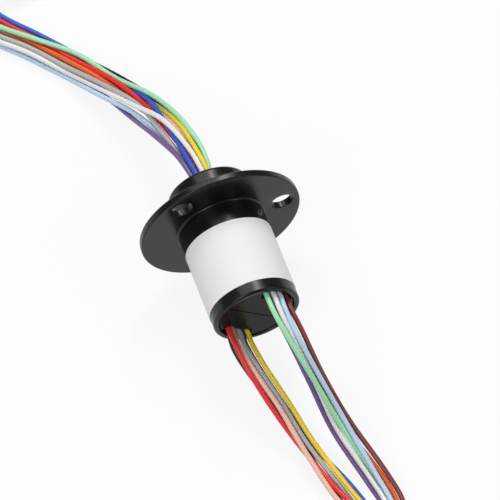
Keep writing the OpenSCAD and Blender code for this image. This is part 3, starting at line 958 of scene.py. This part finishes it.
@dataclass
class Housing:
    """The one-piece shell: body, flange with its bolt holes, and boss.

    The values that are named edge or root are the radii of roundings.
    """

    body_r: float = 11 * MM
    body_length: float = 26.8 * MM
    bore_r: float = 9.6 * MM
    bore_end: float = 1.2 * MM
    flange_r: float = 20.5 * MM
    flange_t: float = 1.9 * MM
    boss_r: float = 10.2 * MM
    rim_y: float = 10.7 * MM
    seat_r: float = 8.01 * MM
    lip_y: float = 9.5 * MM
    lip_r: float = 7 * MM
    hole_r: float = 2.7 * MM
    hole_circle_r: float = 16 * MM
    hole_count: int = 3
    hole_angle: float = 8.5
    hole_chamfer: float = 0.15 * MM
    bore_edge: float = 0.3 * MM
    end_edge: float = 0.6 * MM
    body_root: float = 0.5 * MM
    near_edge: float = 0.4 * MM
    far_edge: float = 0.5 * MM
    boss_root: float = 0.8 * MM
    rim_edge: float = 1 * MM
    lip_edge: float = 0.2 * MM
    steps: int = 160
    hole_steps: int = 48

    def body_band(self) -> list[Pair]:
        """Profile from the bearing seat's lip round the lead end to the flange's near face."""
        end = -self.body_length
        return [
            (self.lip_r, self.rim_y - self.lip_edge), (self.lip_r, self.lip_y), (self.seat_r, self.lip_y),
            (self.seat_r, self.bore_end), (self.bore_r, self.bore_end),
            *rounded((self.bore_r, end), (0, 1), (1, 0), self.bore_edge, 4),
            *rounded((self.body_r, end), (-1, 0), (0, 1), self.end_edge, 8),
            *rounded((self.body_r, 0), (0, -1), (1, 0), self.body_root, 6),
        ]

    def edge_band(self) -> list[Pair]:
        """Profile of the flange's rounded edge."""
        return [
            *rounded((self.flange_r, 0), (-1, 0), (0, 1), self.near_edge, 5),
            *rounded((self.flange_r, self.flange_t), (0, -1), (-1, 0), self.far_edge, 6),
        ]

    def boss_band(self) -> list[Pair]:
        """Profile of the boss from the flange's far face to the lip."""
        return [
            *rounded((self.boss_r, self.flange_t), (1, 0), (0, 1), self.boss_root, 7),
            *rounded((self.boss_r, self.rim_y), (0, -1), (-1, 0), self.rim_edge, 9),
            *rounded((self.lip_r, self.rim_y), (1, 0), (0, -1), self.lip_edge, 3),
        ]

    def hole_rings(self, mesh: bmesh.types.BMesh) -> None:
        """Adds the walls of the bolt holes, with a small chamfer at both faces."""
        chamfer = self.hole_chamfer
        levels = ((0, chamfer), (chamfer, 0), (self.flange_t - chamfer, 0), (self.flange_t, chamfer))
        for index in range(self.hole_count):
            angle = math.radians(self.hole_angle) + index * TURN / self.hole_count
            loops = []
            for y, wider in levels:
                at = Vector((self.hole_circle_r * math.cos(angle), y, self.hole_circle_r * math.sin(angle)))
                where = Matrix.Translation(at) @ Matrix.Rotation(math.pi / 2, 4, "X")
                loops.append(edges_of(ring(mesh, self.hole_r + wider, self.hole_steps, where)))
            for low, high in zip(loops, loops[1:]):
                bmesh.ops.bridge_loops(mesh, edges=low + high)

    def build(self) -> None:
        """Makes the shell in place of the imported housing."""
        mesh = bmesh.new()
        for band in (self.body_band(), self.edge_band(), self.boss_band()):
            spun(mesh, band, self.steps)
        self.hole_rings(mesh)
        bmesh.ops.remove_doubles(mesh, verts=mesh.verts, dist=TOUCH)
        for y in (0, self.flange_t):
            rim = [edge for edge in open_edges(mesh) if all(abs(v.co.y - y) < 10 * TOUCH for v in edge.verts)]
            bmesh.ops.triangle_fill(mesh, edges=rim, use_beauty=True)
        bmesh.ops.recalc_face_normals(mesh, faces=mesh.faces)
        for mark in (PIP, PARTING_RIB):
            mark.add(mesh, self.body_r)
        piece = finished("housing_shell", mesh, HOUSING, "stator")
        even_normals(piece)
        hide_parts("housing")


@dataclass
class WrapLabel:
    """The plain white label round the body, whose ends nearly meet underneath."""

    inner_r: float = 11.01 * MM
    thickness: float = 0.1 * MM
    near_y: float = -5.7 * MM
    width: float = 17.9 * MM
    edge: float = 0.03 * MM
    half_gap: float = math.radians(2)
    bands: int = 12
    steps: int = 180

    def profile(self) -> list[Pair]:
        """Section of the paper, with worn edges."""
        near, far = self.near_y, self.near_y - self.width
        inner, outer = self.inner_r, self.inner_r + self.thickness
        face = [(outer, far + k * self.width / self.bands) for k in range(1, self.bands)]
        return [
            (inner, far), (outer - self.edge, far), (outer, far + self.edge), *face,
            (outer, near - self.edge), (outer - self.edge, near), (inner, near), (inner, far),
        ]

    def build(self) -> None:
        """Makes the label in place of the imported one."""
        mesh = bmesh.new()
        spun(mesh, self.profile(), self.steps, TURN - 2 * self.half_gap, self.half_gap - math.pi / 2)
        piece = finished("wrap_label", closed(mesh), LABEL, "stator")
        even_normals(piece)
        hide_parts("label")


# ------------------------------------------------------------------ dressing


def dress(nodes: dict[str, bpy.types.Object]) -> None:
    """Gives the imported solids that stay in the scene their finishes."""
    for name, finish in NODE_FINISHES.items():
        data = nodes[name].data
        data.materials.clear()
        data.materials.append(finish.material())
        LOG.info("%s: %s", name, finish.name)


@dataclass
class ExitResin:
    """The dark resin that seals the leads into the floors of the two exits."""

    angles: Pair = (48.5, 228.5)
    span: float = 63.4
    inner_r: float = 6.63 * MM
    outer_r: float = 9.57 * MM
    floor_y: float = -24.48 * MM
    depth: float = 0.45 * MM
    rise: float = 0.4 * MM
    surface_steps: int = 10
    steps: int = 40

    def profile(self) -> list[Pair]:
        """Section of the pool, whose surface creeps up both walls."""
        low, high, top = self.inner_r, self.outer_r, self.floor_y - self.depth
        shares = [k / self.surface_steps for k in range(self.surface_steps + 1)]
        surface = [(low + t * (high - low), top - self.rise * abs(2 * t - 1) ** 4) for t in shares]
        return [(low, self.floor_y), *surface, (high, self.floor_y), (low, self.floor_y)]

    def build(self) -> None:
        """Makes one pool in each exit."""
        span = math.radians(self.span)
        for letter, angle in zip("ab", self.angles):
            mesh = bmesh.new()
            spun(mesh, self.profile(), self.steps, span, math.radians(angle) - span / 2)
            even_normals(finished(f"exit_resin_{letter}", closed(mesh), EXIT_RESIN, "stator"))


@dataclass
class Tie:
    """A flat nylon tie pulled tight round one coil, with its head on top."""

    body: str
    coil: Coil
    angle: float
    lines: list[list[Vector]]
    lead_r: float = 0.64 * MM
    rim_steps: int = 24
    width: float = 2.5 * MM
    thickness: float = 0.38 * MM
    flat: float = 0.05 * MM
    head: Triple = (3.4 * MM, 3.3 * MM, 1.7 * MM)
    head_edge: float = 0.3 * MM
    tail: Triple = (0.8 * MM, 2.4 * MM, 2.9 * MM)
    tail_edge: float = 0.1 * MM
    tail_shift: Pair = (0.7 * MM, 0.4 * MM)

    def place(self) -> Matrix:
        """The tie's own frame: X outwards, Y along the turns, Z up."""
        return Matrix.Translation(self.coil.centre) @ Matrix.Rotation(math.radians(self.angle), 4, "Z")

    def outline(self) -> list[Vector]:
        """The loop that a tight band takes round the leads that cross its plane."""
        inwards = self.place().inverted()
        turns = [k / self.rim_steps * TURN for k in range(self.rim_steps)]
        rim = [self.lead_r * Vector((math.cos(turn), math.sin(turn))) for turn in turns]
        points = []
        for line in self.lines:
            local = [inwards @ point for point in line]
            for start, end in zip(local, local[1:]):
                if start.x > 0 and end.x > 0 and start.y * end.y <= 0:
                    points += [start.xz + off for off in rim]
        return [points[index] for index in geometry.convex_hull_2d(points)]

    def build(self) -> None:
        """Makes the band, its head and the stub of its cut tail."""
        outline = self.outline()
        mesh = bmesh.new()
        loop = [mesh.verts.new((across, -self.width / 2, up)) for across, up in outline]
        edges = [mesh.edges.new(pair) for pair in zip(loop, loop[1:] + loop[:1])]
        band = bmesh.ops.extrude_edge_only(mesh, edges=edges)["geom"]
        far_loop = [part for part in band if isinstance(part, bmesh.types.BMVert)]
        bmesh.ops.translate(mesh, verts=far_loop, vec=(0, self.width, 0))
        bmesh.ops.recalc_face_normals(mesh, faces=mesh.faces)
        bmesh.ops.solidify(mesh, geom=mesh.faces[:], thickness=self.thickness)
        top = max(up for _, up in outline)
        ridge = [across for across, up in outline if top - up < self.flat]
        head_at = Vector((sum(ridge) / len(ridge), 0, top + self.thickness + self.head[2] / 2))
        block(mesh, head_at, self.head, self.head_edge)
        block(mesh, head_at + Vector((self.tail_shift[0], 0, self.tail_shift[1])), self.tail, self.tail_edge)
        bmesh.ops.recalc_face_normals(mesh, faces=mesh.faces)
        bmesh.ops.transform(mesh, matrix=self.place(), verts=mesh.verts)
        piece = finished(f"{self.body}_coil_tie", mesh, TIE, self.body)
        even_normals(piece)
        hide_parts(f"{self.body}_lead_tie")


@dataclass
class Studio:
    """The floor, the lamps and the camera."""

    target: Vector = field(default_factory=lambda: Vector((4.49, -8.63, -0.78)) * MM)
    azimuth: float = -19.2
    elevation: float = 59.5
    distance: float = 1.5
    frame_width: float = 121.8 * MM
    floor_z: float = -20.52 * MM
    floor_half: float = 3.0
    floor_grey: Triple = (0.86, 0.86, 0.86)
    floor_glow: float = 0.86
    surround: float = 0.2

    def floor(self) -> None:
        """Makes the pale floor, which shows nearly white and keeps the object's shadow."""
        mesh = bmesh.new()
        where = Matrix.Translation((0, 0, self.floor_z))
        bmesh.ops.create_grid(mesh, x_segments=1, y_segments=1, size=self.floor_half, matrix=where)
        data = bpy.data.meshes.new("floor")
        mesh.to_mesh(data)
        mesh.free()
        shader = Shader("pale_floor")
        path = shader.node("ShaderNodeLightPath")
        shown = Value(shader, path.outputs["Is Camera Ray"]) + Value(shader, path.outputs["Is Glossy Ray"])
        glow = shader.node("ShaderNodeEmission", inputs={"Color": (1, 1, 1), "Strength": 1.0})
        lit = shader.node("ShaderNodeBsdfDiffuse", inputs={"Color": self.floor_grey})
        mixed = shader.node(
            "ShaderNodeMixShader", inputs={0: self.floor_glow * shown, 1: lit.outputs[0], 2: glow.outputs[0]}
        )
        shader.feed(shader.tree.nodes["Material Output"].inputs["Surface"], mixed.outputs[0])
        data.materials.append(shader.material)
        plane = bpy.data.objects.new("floor", data)
        bpy.context.scene.collection.objects.link(plane)

    def lamp(self, name: str, at: Pair, distance: float, size: Pair, watts: float) -> None:
        """Adds an area lamp that points at the object.

        Args:
            name: The lamp's name.
            at: Its azimuth and elevation, in degrees.
            distance: Its distance from the object.
            size: Its width and height.
            watts: Its power.
        """
        back = outwards(*at)
        data = bpy.data.lights.new(name, "AREA")
        data.shape, data.size, data.size_y, data.energy = "RECTANGLE", *size, watts
        placed(bpy.data.objects.new(name, data), distance * back, back)

    def world(self) -> None:
        """Makes an even pale surround."""
        world = bpy.data.worlds.new("surround")
        bpy.context.scene.world = world
        world.use_nodes = True
        background = world.node_tree.nodes["Background"]
        background.inputs["Color"].default_value = (1, 1, 1, 1)
        background.inputs["Strength"].default_value = self.surround

    def camera(self) -> None:
        """Makes the camera."""
        back = outwards(self.azimuth, self.elevation)
        data = bpy.data.cameras.new("camera")
        data.sensor_width = 36
        data.lens = data.sensor_width * self.distance / self.frame_width
        data.clip_start, data.clip_end = 0.05, 20
        camera = bpy.data.objects.new("camera", data)
        placed(camera, self.target + self.distance * back, back)
        bpy.context.scene.camera = camera

    def build(self) -> None:
        """Makes the whole studio."""
        bpy.context.scene.view_settings.view_transform = "Standard"
        self.camera()
        self.floor()
        self.world()
        self.lamp("key", (-50, 50), 0.9, (0.5, 0.5), 3.1)
        self.lamp("fill", (60, 40), 0.9, (0.6, 0.3), 1.1)
        self.lamp("overhead", (180, 58), 0.9, (0.9, 0.4), 3.1)
        self.lamp("streak", (153, 57.6), 0.88, (0.06, 0.5), 1.9)


def main() -> None:
    """Builds the scene in order."""
    logging.basicConfig(level=logging.INFO, format="%(name)s: %(message)s")
    for spare in list(bpy.data.objects):
        bpy.data.objects.remove(spare)
    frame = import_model()
    Studio().build()
    rotor, left, right = (
        Bundle("rotor_wire", "rotor", ROTOR_ROUTE, ROTOR_LEADS, ROTOR_COIL, 0, *ROTOR_EXIT),
        Bundle("left_wire", "stator", LEFT_ROUTE, LEFT_LEADS, STATOR_COIL, STATOR_SHARE, *STATOR_EXIT),
        Bundle("right_wire", "stator", RIGHT_ROUTE, RIGHT_LEADS, STATOR_COIL, -STATOR_SHARE, *STATOR_EXIT),
    )
    for bundle in (rotor, left, right):
        bundle.build()
    rotor.replace_coil()
    left.replace_coil()
    dress(frame["nodes"])
    Tie("rotor", ROTOR_COIL, ROTOR_TIE_ANGLE, rotor.lines).build()
    Tie("stator", STATOR_COIL, STATOR_TIE_ANGLE, left.lines + right.lines).build()
    Housing().build()
    WrapLabel().build()
    ExitResin().build()


if __name__ == "__main__":
    main()
